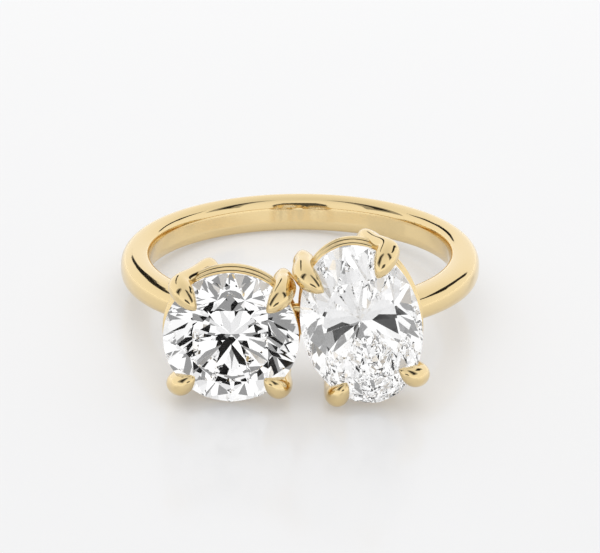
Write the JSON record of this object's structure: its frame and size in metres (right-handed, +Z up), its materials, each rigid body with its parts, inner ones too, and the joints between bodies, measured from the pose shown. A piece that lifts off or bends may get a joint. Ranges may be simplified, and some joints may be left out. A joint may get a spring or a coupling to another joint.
{
  "type": "toi et moi ring",
  "caption": "Toi et moi finger ring lying on its side: a tapered yellow gold band whose claw baskets hold a round and a leaning oval brilliant-cut stone side by side.",
  "frame": {"origin": "on the surface that the ring lies on, under the middle of its bounding box", "axes": "+Z up from the surface, -Y the way the stones face, +X from the round stone towards the oval one"},
  "size_m": [0.0198, 0.023, 0.009],
  "materials": {
    "gold": "polished pale yellow gold",
    "diamond": "faceted colourless stone"
  },
  "bodies": {
    "root": {"gold_mount": "gold", "round_stone": "diamond", "oval_stone": "diamond"}
  },
  "joints": []
}
